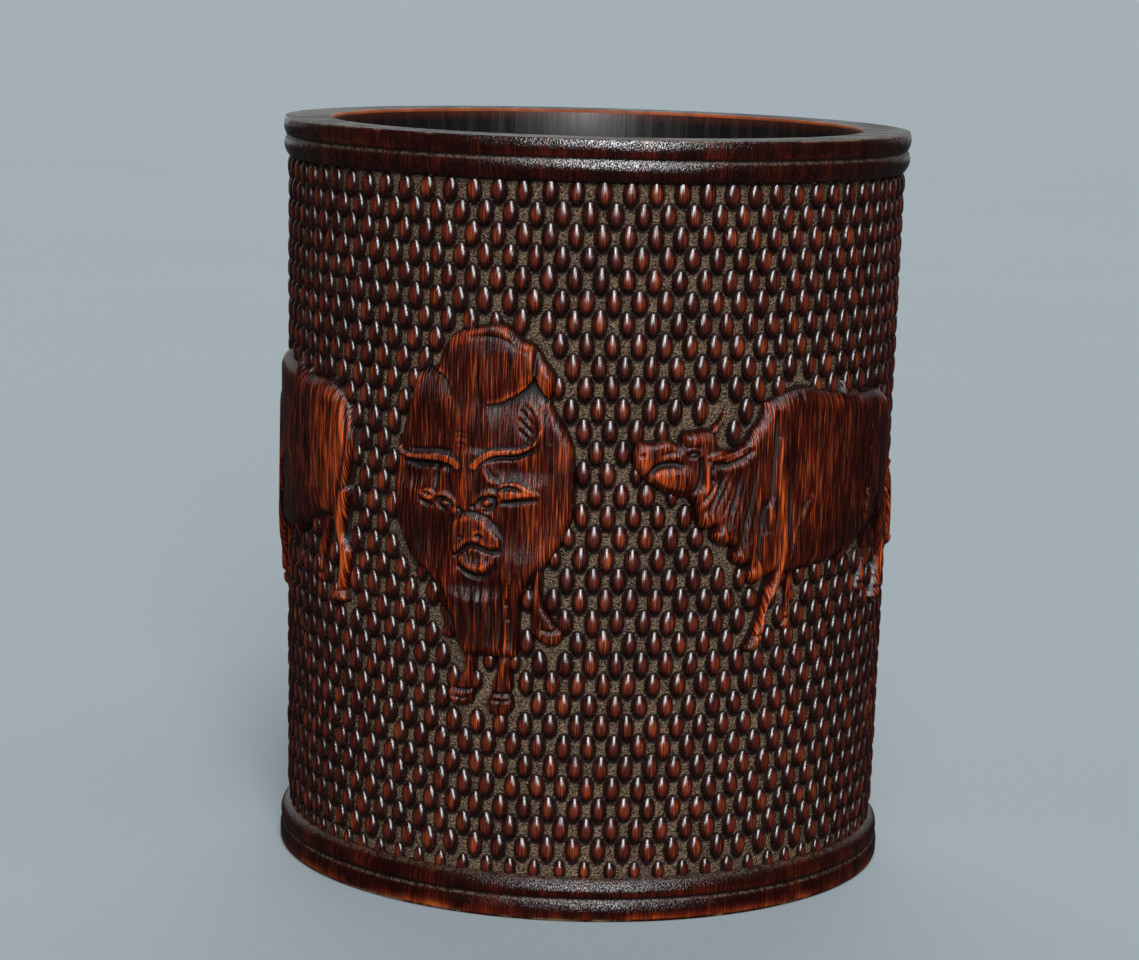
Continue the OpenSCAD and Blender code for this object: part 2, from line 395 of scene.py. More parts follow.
def board_material():
    """The base board: straight-grained hardwood under dark lacquer that has worn through in places."""
    look = Look("lacquered_board")
    drawn = look.node("ShaderNodeMapping", "Vector", {"Vector": look.place, "Scale": (60.0, 900.0, 400.0)})
    grain = look.noise(drawn, 1.0, 4.0)
    rings = look.node("ShaderNodeTexWave", "Fac", {"Vector": look.place, "Scale": 55.0, "Distortion": 5.0,
                                                   "Detail": 3.0, "Detail Scale": 1.2}, bands_direction="Y")
    worn = look.noise(look.place, 42.0, 5.0)
    base = grain.blend((0.018, 0.008, 0.005), (0.085, 0.036, 0.018))
    base = (rings * 0.45).blend(base, (0.03, 0.012, 0.007))
    return look.done(worn.spread(0.55, 0.72).blend(base, (0.16, 0.085, 0.045)),
                     worn.spread(0.35, 0.7, 0.32, 0.62), look.bump(grain, 0.12))


def pin_material():
    """The base pins: bare bamboo, whose cut ends show the bundles as dark dots."""
    look = Look("pin_end_grain")
    ends = look.streaks(0.3, 12.0)
    return look.done(ends.spread(0.42, 0.6).blend((0.20, 0.11, 0.045), (0.58, 0.40, 0.20)),
                     ends.spread(0.35, 0.65, 0.45, 0.7), look.bump(ends, 0.08))


# ---------------------------------------------------------------- outlines and carving
def spline(points, closed=False, steps=4):
    """Catmull-Rom curve through the points."""
    p = np.asarray(points, float)
    ends = np.roll(p, 1, 0)[:1] if closed else 2 * p[:1] - p[1:2]
    tail = p[:2] if closed else 2 * p[-1:] - p[-2:-1]
    q = np.concatenate([ends, p, tail])
    made = []
    for i in range(1, len(q) - 2):
        a, b, c, d = q[i - 1:i + 3]
        for t in np.arange(steps) / steps:
            made.append((2 * b + (c - a) * t + (2 * a - 5 * b + 4 * c - d) * t * t
                         + (3 * b - a - 3 * c + d) * t ** 3) / 2)
    return np.array(made if closed else made + [p[-1]])


def to_path(x, z, path):
    """Distance from the path, share of the way along it, and the side: 1 to its left, -1 to its right."""
    best = np.full(x.shape, 1e9)
    along, side = np.zeros(x.shape), np.ones(x.shape)
    lengths = np.hypot(*np.diff(path, axis=0).T)
    starts = np.concatenate([[0], np.cumsum(lengths)])
    for (a, b, start, length) in zip(path[:-1], path[1:], starts, lengths):
        d = b - a
        t = np.clip(((x - a[0]) * d[0] + (z - a[1]) * d[1]) / (length * length + 1e-12), 0, 1)
        far = np.hypot(x - a[0] - d[0] * t, z - a[1] - d[1] * t)
        near = far < best
        best[near] = far[near]
        along[near] = (start + t * length)[near] / starts[-1]
        side[near] = np.where(d[0] * (z - a[1]) - d[1] * (x - a[0]) > 0, 1.0, -1.0)[near]
    return best, along, side


def depth_inside(x, z, outline):
    """Distance inside a closed outline, negative outside it."""
    path = np.concatenate([outline, outline[:1]])
    far = to_path(x, z, path)[0]
    inside = np.zeros(x.shape, bool)
    for a, b in zip(path[:-1], path[1:]):
        crosses = (a[1] > z) != (b[1] > z)
        with np.errstate(divide="ignore", invalid="ignore"):
            inside ^= crosses & (x < (b[0] - a[0]) * (z - a[1]) / (b[1] - a[1]) + a[0])
    return np.where(inside, far, -far)


def shoulder(depth, height, width):
    """A face at that height with a rounded shoulder of that width, falling steeply outside the outline."""
    t = np.clip(1 - depth / width, 0, 1)
    return np.where(depth > 0, height * np.sqrt(1 - t * t), np.maximum(2.5 * depth, -OX_SINK))


# Each of these strokes gives a function of (x, z): the height that it adds to an ox.
def line(amount, width, *paths):
    """A ridge along each path, or a groove if amount is negative, that fades at both ends."""
    def height(x, z):
        places = [to_path(x, z, spline(points)) for points in paths]
        return sum(amount * np.exp(-(far / width) ** 2) * faded_ends(along) for far, along, _ in places)
    return height


def horn(amount, width, points):
    """A ridge that starts full and thins to its last point."""
    def height(x, z):
        far, along, _ = to_path(x, z, spline(points))
        thin = 1 - 0.65 * along
        return amount * np.sqrt(thin) * np.clip(1 - (far / (width * thin)) ** 2, 0, 1) ** 0.6
    return height


def ledge(amount, width, points):
    """A step up on the left of the way along the points; the low side climbs back over width."""
    def height(x, z):
        far, along, side = to_path(x, z, spline(points))
        high = 0.25 * np.exp(-far / (0.5 * width))
        return amount * faded_ends(along) * np.where(side > 0, high, -np.exp(-far / width))
    return height


def leaf(amount, width, points):
    """The inside of an outline raised, with an edge of that width."""
    return lambda x, z: amount * smooth(depth_inside(x, z, spline(points, closed=True, steps=3)) / width)


def dome(amount, centre, half_axes):
    """A rounded swelling, or a hollow if amount is negative."""
    return lambda x, z: amount * np.clip(1 - oval(x, z, centre, half_axes), 0, 1) ** 1.5


def faded_ends(along):
    return np.sqrt(np.clip(np.sin(math.pi * along), 0, 1))


def oval(x, z, centre, half_axes):
    """0 at the centre of an oval and 1 on its outline."""
    return ((x - centre[0]) / half_axes[0]) ** 2 + ((z - centre[1]) / half_axes[1]) ** 2


# Outlines, strokes, and spots of shade and stain of the oxen, as (x, z) in each figure's own frame
FRONT_BODY = [
    (-5, 86.4), (0.4, 87.7), (3, 88.6), (6.6, 87.8), (9.2, 85.4), (12.5, 83.9), (15, 80.5), (17, 78),
    (17.7, 76.2), (17.4, 74), (16.4, 71.9), (18, 68.5), (19.7, 66), (21, 63.5), (22, 59.6), (22.4, 50.4),
    (21.5, 44.1), (19.2, 38.9), (16, 34.3), (13.3, 31.5), (10.8, 27.5), (10.3, 23), (10, 17), (9.6, 13.2),
    (5, 12.8), (0, 13), (-2.8, 12.8), (-4.6, 15.2), (-6, 19), (-6.9, 21), (-9.7, 24.2), (-10.3, 27.3),
    (-12.8, 30.3), (-14.8, 31.5), (-17.7, 34.2), (-20.6, 39.8), (-22.1, 44.4), (-22.6, 50.4), (-21.7, 56.4),
    (-20.5, 60), (-20.1, 63), (-19, 67), (-17.8, 70.5), (-17, 73.5), (-16, 76), (-14, 77.2), (-11.2, 78),
    (-10.4, 80), (-9.2, 82.5), (-7.5, 85)]
FRONT_LEGS = [
    [(-3.2, 15.5), (-3, 10.7), (-3.8, 8.6), (-5.1, 6.6), (-6.7, 5.2), (-7.1, 3.9), (-6.6, 2.1), (-5.1, 1.3),
     (-3.8, 1), (-2.2, 1.4), (-0.7, 2.6), (-0.3, 4.5), (-0.5, 6.3), (-0.2, 8.5), (-0.3, 15.5)],
    [(5.2, 15.5), (5.1, 10.3), (4.2, 7.9), (3.7, 6), (3.8, 4.8), (2.9, 3.4), (2.7, 1.6), (3.3, 0.3),
     (4.8, -0.4), (6.9, -0.5), (8.3, 0.4), (9.1, 2), (9, 3.9), (8.4, 5.2), (9, 6.5), (8.7, 8.7), (8.4, 11),
     (9, 15.5)],
    [(15.2, 35.5), (13, 33.5), (12.7, 24.4), (12.8, 20.5), (13.6, 18.5), (14.9, 17.3), (16.4, 16.4),
     (18, 16.2), (19.8, 17.2), (20.5, 18.9), (20.3, 20), (18.7, 21.2), (17.2, 23.3), (15.9, 25.3),
     (15.4, 27.6), (15.3, 30.2)],
    [(-9.5, 24), (-8.5, 19.4), (-9.5, 17.4), (-7, 16.2), (-5.5, 17.4), (-4.5, 24)]]
FRONT_CUTS = [
    # back, haunches and root of the tail
    line(0.3, 0.9, [(-4.5, 85.7), (0.4, 86.9), (4, 87.4), (8, 84.8)]),
    line(-0.25, 0.5, [(-3.4, 84.9), (2, 85.4), (6, 84.8), (8.8, 82.6)]),
    dome(0.5, (10.8, 84), (2.0, 1.7)),
    line(-0.6, 0.5, [(13, 83.4), (12.8, 80), (12.4, 76.4)]),
    dome(0.35, (10.2, 79), (2.6, 5)),
    dome(0.6, (15.3, 76.3), (2.4, 5.2)),
    dome(0.4, (4, 79), (9, 8)),
    ledge(1.2, 3.6, [(1.9, 70.2), (5, 70.9), (7.2, 72), (9.8, 73.6), (11.6, 75.4), (12.8, 77)]),
    ledge(1.2, 2.8, [(12.4, 77), (13.6, 75.2), (14.7, 73.4), (16.2, 71.7)]),
    ledge(0.6, 2.6, [(-14.6, 77.4), (-10.8, 77.2), (-8.3, 75.9), (-6.8, 74), (-6, 71.5)]),
    dome(0.3, (-14.5, 70), (4.5, 7)),
    # ridge and folds of the neck
    line(0.4, 0.8, [(13.6, 62.4), (14.3, 64), (14.3, 66.5), (13, 69), (11, 71.5)]),
    line(-0.3, 0.35, [(11, 70.6), (13.4, 67.6)], [(9.6, 69.6), (12.6, 66.2)], [(9.2, 67.6), (12.6, 64.2)],
         [(9.4, 65.2), (11.8, 62.8)]),
    line(-0.25, 0.3, [(15.4, 70), (16.4, 66), (16.6, 62)]),
    # hollows round the head
    dome(-0.6, (9.5, 55.8), (8.5, 4.0)),
    dome(-0.6, (-15, 53.6), (7, 4.4)),
    dome(-0.5, (10.5, 42.5), (6.5, 8)),
    dome(-0.5, (-11, 41), (5.5, 9)),
    dome(-0.7, (0, 29.4), (8, 4)),
    dome(-0.45, (2.5, 20), (8, 9)),
    # head
    leaf(0.35, 2.2, [(-9.5, 57.5), (-4, 60.5), (2, 60.5), (4.2, 57.5), (4.8, 53), (4.6, 49.5), (3.4, 46.5),
         (4.4, 43.8), (5.9, 40.5), (5.6, 38), (4.6, 35.5), (2.6, 32.9), (0, 32), (-2.8, 33.2), (-4.8, 35.4),
         (-5.8, 38.5), (-5.9, 41.5), (-7, 44.5), (-9.2, 46.6), (-10.2, 50.5), (-10.2, 54.5)]),
    dome(0.35, (-2.5, 64), (6.5, 9)),
    line(-0.22, 0.26, [(-5.2, 61), (-3.8, 61.2), (-2.4, 60.9)], [(-5.2, 62.5), (-3.9, 62.7), (-2.6, 62.4)],
         [(-5.2, 63.6), (-4, 63.8), (-2.8, 63.5)]),
    line(0.3, 1.6, [(-2.8, 58), (-2.8, 52), (-2.4, 47), (-1.6, 44)]),
    line(0.35, 0.4, [(2.8, 58.5), (1.7, 56.5), (2.4, 54), (3.5, 53), (5, 52.8)]),
    line(-0.3, 0.45, [(3.4, 57.4), (2.6, 56), (3.6, 54.4), (5.2, 54)]),
    line(-0.5, 0.5, [(-10, 57), (-10.1, 54), (-9.9, 50.5)]),
    # horns and their shadows
    line(-0.8, 0.6, [(0.6, 56.6), (1.9, 57.6), (4.9, 58.6), (7.9, 58.7), (10.4, 59.4), (13, 60.6)]),
    line(-0.7, 0.7, [(-5.6, 55.4), (-8.5, 55.9), (-12, 55.8), (-16, 55.6), (-19, 56.2)]),
    line(-0.4, 0.5, [(-6, 59.2), (-10, 59.4), (-14, 59), (-17.6, 59)]),
    horn(1.2, 0.9, [(-0.6, 56.4), (0.8, 57.8), (3, 59.3), (6, 59.8), (9, 60.1), (11.5, 61), (13.4, 62.4),
         (14.2, 64.6)]),
    horn(1.2, 1.0, [(-4.6, 56.2), (-6, 57.1), (-8.5, 57.6), (-11, 57.6), (-14, 57.3), (-17, 57.2),
         (-19, 57.8), (-20.4, 59.3)]),
    # eyes
    dome(-0.75, (2.6, 48.3), (2.9, 1.9)),
    dome(-0.75, (-8, 47.6), (2.8, 1.8)),
    dome(0.85, (2.6, 48.2), (1.6, 1.1)),
    dome(0.85, (-8, 47.5), (1.7, 1.05)),
    line(0.45, 0.5, [(-0.4, 48.2), (1.2, 50), (3.6, 50.6), (5.2, 49.8)], [(-10.2, 49), (-8, 49.5),
         (-6.2, 48.7), (-4.8, 47.4)]),
    line(-0.5, 0.32, [(0, 47.5), (1.4, 49.3), (3.4, 49.7), (5, 49)]),
    line(-0.35, 0.32, [(0.9, 46.7), (2.4, 46.3), (4, 46.8)]),
    line(-0.5, 0.32, [(-9.8, 48.2), (-7.8, 48.5), (-6.5, 47.7), (-5, 46.6)]),
    line(-0.3, 0.32, [(-9.4, 46.4), (-7.6, 45.8), (-6.2, 46)]),
    dome(-0.6, (-4, 46.5), (0.9, 0.8)),
    dome(-0.6, (-0.7, 47.3), (0.8, 0.8)),
    dome(0.35, (5.5, 49.3), (0.9, 0.8)),
    # ears
    leaf(0.7, 0.6, [(4.8, 52.4), (7, 53.4), (9.8, 53.4), (11.5, 52.6), (13.8, 51.3), (14.4, 50.3),
         (11, 49.9), (8, 49.3), (6.5, 49), (5, 50.2)]),
    line(-0.9, 0.6, [(4.9, 51.2), (7, 51.9), (9, 51.8), (10.6, 51.2)]),
    line(-0.5, 0.5, [(5.6, 48.4), (8, 48.6), (11, 49.1), (14.2, 49.5)]),
    leaf(0.6, 0.5, [(-14.6, 49.4), (-12.5, 50.5), (-10.5, 49.9), (-10, 48.8), (-11.5, 47.5),
         (-13.4, 47.9)]),
    line(-0.6, 0.4, [(-13.8, 49), (-12.3, 49.3), (-10.6, 48.8)]),
    line(-0.4, 0.5, [(-14.6, 47.8), (-12.6, 46.8), (-10.6, 46.8)]),
    # muzzle, mouth and chin
    leaf(0.6, 0.9, [(-5.8, 43), (-4.6, 44.5), (-2, 45.3), (0.3, 45), (2.3, 44), (3.8, 42.5), (5.4, 41.3),
         (6.2, 39.8), (5.6, 38.2), (4, 37.9), (2, 38.3), (0, 39), (-1.5, 38.9), (-3, 37.6), (-4.8, 36),
         (-5.9, 37.5), (-6, 40.5)]),
    line(-0.35, 0.5, [(-6.6, 42.4), (-5.2, 45), (-2, 46), (1, 45.7), (3.2, 44.4), (5.4, 42.4)]),
    line(-0.4, 0.3, [(3.3, 45.2), (3.3, 42.7)]),
    dome(-0.8, (0.9, 40.7), (1.2, 0.75)),
    dome(-0.5, (-3.3, 40.2), (0.9, 0.7)),
    line(0.3, 0.35, [(-0.4, 41.2), (0.9, 41.9), (2.2, 41.2)]),
    line(-0.3, 0.3, [(-1.3, 42.6), (-1.2, 41), (-1.2, 39.2)]),
    line(-0.85, 0.45, [(-5.2, 35.4), (-3.2, 37), (-1.6, 38.2), (0, 38.3), (2, 37.6), (4, 37.2),
         (5.8, 37.6)]),
    line(-0.3, 0.22, [(-1.9, 37.6), (-1.8, 36.4), (-1.7, 35.2)], [(-0.7, 37.9), (-0.7, 36.5), (-0.6, 35)],
         [(0.5, 37.9), (0.5, 36.5), (0.5, 35)], [(1.7, 37.5), (1.7, 36.4), (1.6, 35.2)]),
    line(0.6, 0.75, [(-4, 36), (-2.6, 34.1), (0, 33.1), (2.3, 33.7), (3.9, 35.2), (4.7, 37)]),
    line(-0.6, 0.6, [(-4.6, 34), (-2.6, 32.2), (0, 31.3), (2.6, 31.9), (4.8, 34.4)]),
    # chest
    dome(0.3, (-0.5, 20), (5.5, 10)),
    ledge(0.5, 2.2, [(-10, 33), (-7.5, 27), (-5.6, 20), (-4, 14.5)]),
    ledge(0.5, 1.8, [(7.4, 13), (7.8, 20), (7.4, 27), (8.8, 33)]),
    line(-0.35, 0.45, [(3, 30), (3.4, 22), (3, 14.5)], [(5.6, 31), (5.8, 22), (5.6, 14)]),
    line(-0.3, 0.45, [(0.8, 29), (0.9, 22), (0.8, 14)], [(-1.6, 29), (-1, 21), (-0.7, 14)], [(-4.4, 28),
         (-3.4, 21), (-2.8, 15)]),
    # knees and hooves
    dome(0.3, (-2, 11), (1.6, 2.6)),
    dome(0.3, (6.8, 11), (1.9, 2.6)),
    line(-0.5, 0.4, [(-6.4, 5.6), (-3.5, 5.1), (-0.4, 5.4)], [(3.6, 5.2), (6.2, 4.8), (8.8, 5.2)]),
    line(-0.3, 0.3, [(-6.8, 3.7), (-3.6, 3.2), (-0.6, 3.7)], [(3.1, 3.4), (6, 3.2), (8.9, 3.6)]),
    line(-0.45, 0.3, [(-3.9, 4), (-4, 2.4), (-4.2, 0.8)], [(5.8, 4), (5.9, 2), (5.8, -0.4)]),
    line(-0.4, 0.4, [(15, 20.4), (17.4, 19.8), (19.8, 20.6)])]
# spots that darken (amount > 0) or lighten an ox: partly painted shade and painted light, partly the bamboo's
# own tone
FRONT_SHADE_AND_STAIN = [
    (0.9, (1, 22), (11, 13)), (0.8, (-17, 40), (8, 12)), (-0.8, (14, 49), (6, 14)),
    (0.6, (-11, 80), (6, 5)), (0.9, (2.6, 4), (9, 10)), (-0.5, (3, 74), (14, 10))]

RAISED_SHADE_AND_STAIN = [
    (0.9, (14, 24), (17, 8)), (0.5, (8, 58), (26, 4.5)), (0.6, (28, 42), (14, 20)),
    (-0.9, (-11, 12), (5, 15)), (-0.6, (-9, 33), (3.5, 18)), (-0.8, (37, 14), (4, 12)),
    (-0.5, (1, 42), (7, 16))]

LOWERED_SHADE_AND_STAIN = [
    (0.9, (14, 24), (17, 8)), (0.4, (8, 58), (26, 4.5)), (-1.0, (33, 42), (10, 18)),
    (-1.0, (37, 16), (5, 14)), (-0.6, (-9, 33), (3.5, 18))]

FORE_BODY = [
    (-14, 55), (-10.2, 58.8), (-6.4, 60.3), (-2.1, 61), (2.1, 60.4), (8.6, 59.2), (15.7, 58.3), (20, 56),
    (20, 24), (12, 20), (5, 18.9), (-1, 18.3), (-5, 18), (-8, 19), (-13, 30)]
REAR_BODY = [
    (12, 58.6), (15.7, 58.3), (22.9, 57.9), (28.6, 58.1), (33.6, 57), (37.5, 54.5), (40, 50.5), (41, 45),
    (40.5, 39), (39, 33), (37, 27), (31, 26), (25, 24.5), (21, 22.3), (17, 21), (12, 20)]
NEAR_LEGS = [
    [(-12, 31), (-10, 19.5), (-11.6, 14.3), (-13, 8.5), (-14.7, 4.5), (-16.4, 1.8), (-14.5, 0.7), (-12, 2),
     (-11.1, 5), (-10.5, 10.6), (-7.8, 15), (-6.4, 19), (-4.5, 31)],
    [(33, 30), (35.5, 22), (36.5, 17), (35.5, 11), (33.5, 7.5), (35, 6.4), (38.5, 7), (38, 9.5), (39.5, 14),
     (40.5, 19), (38.5, 22), (38.5, 26), (40, 34)]]
FAR_LEGS = [
    [(-5, 20), (-4.2, 13), (-4.8, 8), (-6, 6), (-4.5, 5), (-2.7, 5.6), (-2.8, 10), (-2.2, 20)],
    [(24, 27), (27, 20), (26, 14), (24.8, 10.8), (26.2, 9.6), (28.6, 10.2), (28.6, 15), (30, 20), (31, 27)]]
BODY_CUTS = [
    # neck, shoulder and foreleg
    line(-0.55, 0.6, [(-10.4, 59), (-10.6, 50), (-11, 42), (-11.6, 34)]),
    dome(0.6, (-11, 32.8), (1.3, 4.2)),
    line(-0.5, 0.7, [(-12.6, 36), (-13, 32), (-12.2, 28)]),
    ledge(0.6, 3.0, [(-5.2, 19), (-4.4, 25), (-2.6, 31), (-1.2, 36)]),
    line(0.3, 0.7, [(-2.4, 29), (-0.6, 33), (1.6, 36.5)]),
    line(0.75, 1.2, [(-9, 50), (-8.4, 36), (-7.4, 24), (-9, 16), (-11.3, 10), (-13.4, 4)]),
    line(-0.4, 0.6, [(-6.2, 40), (-5.8, 30), (-6.4, 22)]),
    # ribs and belly
    line(-0.16, 0.5, [(2.4, 57), (4.4, 50), (4.8, 40), (3.4, 31)], [(7, 56), (9.6, 49), (10.2, 40),
         (9, 30)], [(11.6, 56), (15, 48), (15.6, 40), (14.6, 30)], [(17, 55), (20.4, 47), (21, 39),
         (20, 30)]),
    # haunch, hip and tail
    dome(0.35, (30, 43), (10, 15)),
    ledge(0.55, 3.5, [(24, 50), (25, 43), (24.5, 35), (22.4, 27)]),
    dome(0.3, (33, 54.5), (3.4, 2.4)),
    ledge(0.5, 2.2, [(30, 33), (31.5, 28), (33.6, 22)]),
    line(-0.5, 0.5, [(37.4, 54), (38.8, 48), (38.6, 41), (37, 34), (36, 27)]),
    line(0.5, 0.8, [(37.5, 55.5), (40, 50), (40, 43), (38.6, 36), (37.4, 29), (37.2, 23)]),
    # hooves
    line(-0.5, 0.4, [(-15.4, 4.4), (-13.2, 4.6), (-11, 5.2)], [(-6, 7.6), (-4.4, 7.8), (-2.8, 8)],
         [(34.4, 9.6), (36.4, 9.4), (38.4, 9.8)], [(25, 12.4), (26.8, 12), (28.6, 12.4)])]

RAISED_HEAD = [
    (-45.4, 46.4), (-44.8, 48.8), (-43.4, 50), (-40.7, 49.7), (-37.1, 50.4), (-34.8, 49.2), (-33.7, 51.8),
    (-30.7, 52.2), (-26.8, 52.3), (-25.2, 50.4), (-24.6, 48.4), (-21.5, 47.4), (-18.6, 49), (-16.4, 51.8),
    (-14.3, 54.3), (-12.5, 57), (-10.2, 58.6), (-6, 57), (-4, 40), (-7, 21), (-11.8, 17.6), (-14.2, 16.2),
    (-16, 17.2), (-16.8, 19), (-16.3, 20.8), (-18.6, 21), (-20.4, 22.1), (-21, 23.7), (-20.5, 25.2),
    (-23.3, 25.8), (-25.3, 26.8), (-26.1, 28.4), (-25.6, 29.9), (-27.6, 29.4), (-29.4, 30.8), (-30, 32.8),
    (-30.6, 35), (-31.8, 36.8), (-34.4, 37.2), (-37.9, 38.2), (-40.4, 40), (-42.9, 41.5), (-44.8, 43.8)]
RAISED_HORN = [
    (-27.1, 52), (-25.4, 53.6), (-24, 55.6), (-23.1, 57.2), (-23.5, 54.9), (-24.6, 52.6), (-25.8, 51)]
RAISED_CUTS = [
    # muzzle, brow and jaw
    line(0.3, 0.9, [(-44.6, 48.6), (-41, 48.8), (-37, 49.2), (-34.5, 48.6)]),
    line(-0.35, 0.7, [(-39, 46.8), (-36.6, 47.4), (-34.4, 47.2)]),
    dome(0.45, (-42.6, 45.2), (2.4, 3.6)),
    dome(0.5, (-31.6, 50.4), (3.2, 2.2)),
    line(-1.2, 0.9, [(-42.4, 41.2), (-40.8, 43.2), (-38.8, 44.5), (-36, 44.9), (-33.4, 44.3)]),
    line(-0.3, 0.5, [(-41, 41.6), (-39.2, 40.2), (-36.6, 38.8), (-33.6, 38.2), (-31.2, 39)]),
    dome(0.5, (-34.6, 41.6), (4.2, 3.2)),
    line(-0.85, 0.7, [(-29.6, 46.6), (-29.2, 43.6), (-29.6, 40.5), (-31.2, 38)]),
    line(0.5, 0.5, [(-27.2, 46), (-28, 42.6), (-27.7, 39.6), (-28.6, 37.6)]),
    dome(-0.6, (-26.9, 43.4), (0.6, 0.9)),
    dome(-0.6, (-26.7, 41), (0.5, 0.8)),
    line(0.5, 0.6, [(-26, 40.4), (-27, 37.4), (-29.2, 34.6), (-30.4, 33.6)]),
    dome(-0.5, (-31.4, 46.9), (1.7, 1.1)),
    dome(0.5, (-31.3, 46.8), (0.9, 0.6)),
    line(0.3, 0.4, [(-33, 47.7), (-31.4, 48.2), (-29.8, 47.4)]),
    dome(-0.5, (-43, 46.8), (0.9, 0.6)),
    # ear
    leaf(0.6, 0.6, [(-28.2, 46.6), (-25.5, 47.7), (-21.5, 48.6), (-17.6, 48.4), (-20, 46.8), (-24.3, 45.6),
         (-27.3, 45.4)]),
    line(-0.5, 0.5, [(-26.4, 46.5), (-23, 47), (-19.6, 47.6)]),
    line(-0.7, 0.6, [(-27, 44.6), (-23, 44.5), (-19, 45.8), (-16.2, 48)]),
    # folds of the neck, which run down into the lobes of the dewlap
    line(-0.3, 0.35, [(-24.6, 43), (-26.4, 39.4), (-28.6, 36)]),
    line(-0.5, 0.5, [(-23.4, 43), (-25.2, 38.6), (-27, 34), (-26.4, 30.6)]),
    line(-0.3, 0.35, [(-21.8, 43.4), (-23.4, 39), (-25.6, 34), (-25.4, 31.4)], [(-20.6, 43.6), (-22, 38),
         (-24.2, 32.4)]),
    line(-0.65, 0.55, [(-19.4, 43.6), (-20.8, 37), (-22.4, 30.6), (-21.4, 26)]),
    line(-0.3, 0.35, [(-18.2, 44), (-19.4, 37), (-21, 30)], [(-16.8, 44), (-18, 36.5), (-19.8, 28.6)]),
    line(-0.65, 0.55, [(-15.6, 44), (-16.8, 35), (-18.4, 27), (-17.2, 21.6)]),
    line(-0.3, 0.35, [(-14.2, 43), (-15.4, 34), (-16.6, 26)]),
    line(-0.5, 0.5, [(-13.4, 38), (-13.8, 30), (-14, 24), (-12.2, 18.8)]),
    dome(0.5, (-27.8, 31.8), (2.2, 2.8)),
    dome(0.5, (-23.6, 28.4), (2.4, 3)),
    dome(0.5, (-18.8, 23.8), (2, 3.4)),
    dome(0.5, (-14.4, 19.8), (2, 4))]
LOWERED_HEAD = [
    (-10.2, 58.6), (-14, 56.5), (-19, 52), (-24, 46), (-28, 41.5), (-31.5, 39.5), (-34.5, 36), (-37.5, 30),
    (-40, 23.5), (-41.6, 18.5), (-41, 15.2), (-38.4, 14), (-36, 16), (-34, 20), (-31.5, 24), (-28.6, 26),
    (-26, 27.5), (-23, 24.5), (-19, 21), (-15, 18), (-8, 21), (-4, 40), (-6, 57)]
LOWERED_HORN = [
    (-31.5, 39.5), (-34.5, 41.5), (-36.2, 44.4), (-35.8, 46.6), (-33.8, 44.5), (-31.8, 42.4), (-29.5, 40.9)]
LOWERED_CUTS = [
    line(0.35, 1.0, [(-33, 37), (-36, 30), (-38.6, 23), (-40, 18)]),
    line(-0.7, 0.5, [(-40.6, 17), (-38.4, 18.2), (-36.4, 20.4)]),
    dome(-0.5, (-39.8, 19.4), (0.7, 0.8)),
    dome(0.4, (-38.6, 17), (2.2, 2.6)),
    dome(-0.6, (-33.8, 32.6), (1.4, 1.9)),
    dome(0.55, (-33.8, 32.6), (0.7, 1)),
    line(0.35, 0.4, [(-35, 33.6), (-33.8, 35), (-32.4, 34.4)]),
    dome(0.5, (-33, 27), (3, 4)),
    line(-0.7, 0.7, [(-30.4, 36.5), (-29.2, 32), (-30, 27.6), (-32, 24)]),
    leaf(0.65, 0.6, [(-31, 37.4), (-28, 39), (-23, 38.8), (-25.5, 36.6), (-29, 35)]),
    line(-0.45, 0.5, [(-29.6, 37), (-27, 37.8), (-24.6, 38)]),
    line(-0.45, 0.6, [(-29, 34.2), (-25.4, 35.4), (-22.4, 37.8)]),
    line(-0.4, 0.6, [(-26, 33), (-25, 29), (-25, 26)]),
    line(-0.45, 0.6, [(-22.6, 44), (-21, 36), (-21.4, 25)]),
    line(-0.25, 0.35, [(-20, 46), (-18.6, 36), (-19, 23)]),
    line(-0.5, 0.6, [(-17.6, 48), (-16, 38), (-16.4, 21)]),
    line(-0.25, 0.35, [(-15, 49), (-13.8, 38), (-14.4, 20)])]


class Ox:
    """A figure's height over the ground on a grid in its own frame.

    A layer is (outline, height, width of its shoulder), and a spot of shade and stain (amount, centre, half
    axes).
    """

    def __init__(self, layers, strokes, shade_and_stain):
        margin, cut_fade, rim_shade_width = 1.2, 0.7, 2.5
        self.outlines = [spline(outline, closed=True, steps=3) for outline, _, _ in layers]
        every = np.concatenate(self.outlines)
        self.low, self.high = every.min(0) - margin, every.max(0) + margin
        columns, rows = (np.arange(a, b, GRID) for a, b in zip(self.low, self.high))
        self.x, self.z = np.meshgrid(columns, rows, indexing="ij")
        depths = [depth_inside(self.x, self.z, outline) for outline in self.outlines]
        self.depth = np.max(depths, axis=0)
        faces = [shoulder(depth, height, width) for depth, (_, height, width) in zip(depths, layers)]
        cut = CUT_DEPTH * sum(stroke(self.x, self.z) for stroke in strokes)
        self.h = np.max(faces, axis=0) + cut * smooth(self.depth / cut_fade)
        # painted shade: the figure darkens within a rim of its outline, where its rounded shoulders turn from
        # the light
        self.edge = smooth(1 - self.depth / rim_shade_width)
        # spots of painted shade and painted light mixed with stain, added to the rim's painted shade
        for amount, centre, half_axes in shade_and_stain:
            self.edge = self.edge + amount * np.clip(1 - oval(self.x, self.z, centre, half_axes), 0, 1)

    def near(self, x, z):
        """Distance outside the figure at points of its own frame, negative inside."""
        return -np.max([depth_inside(x, z, outline) for outline in self.outlines], axis=0)


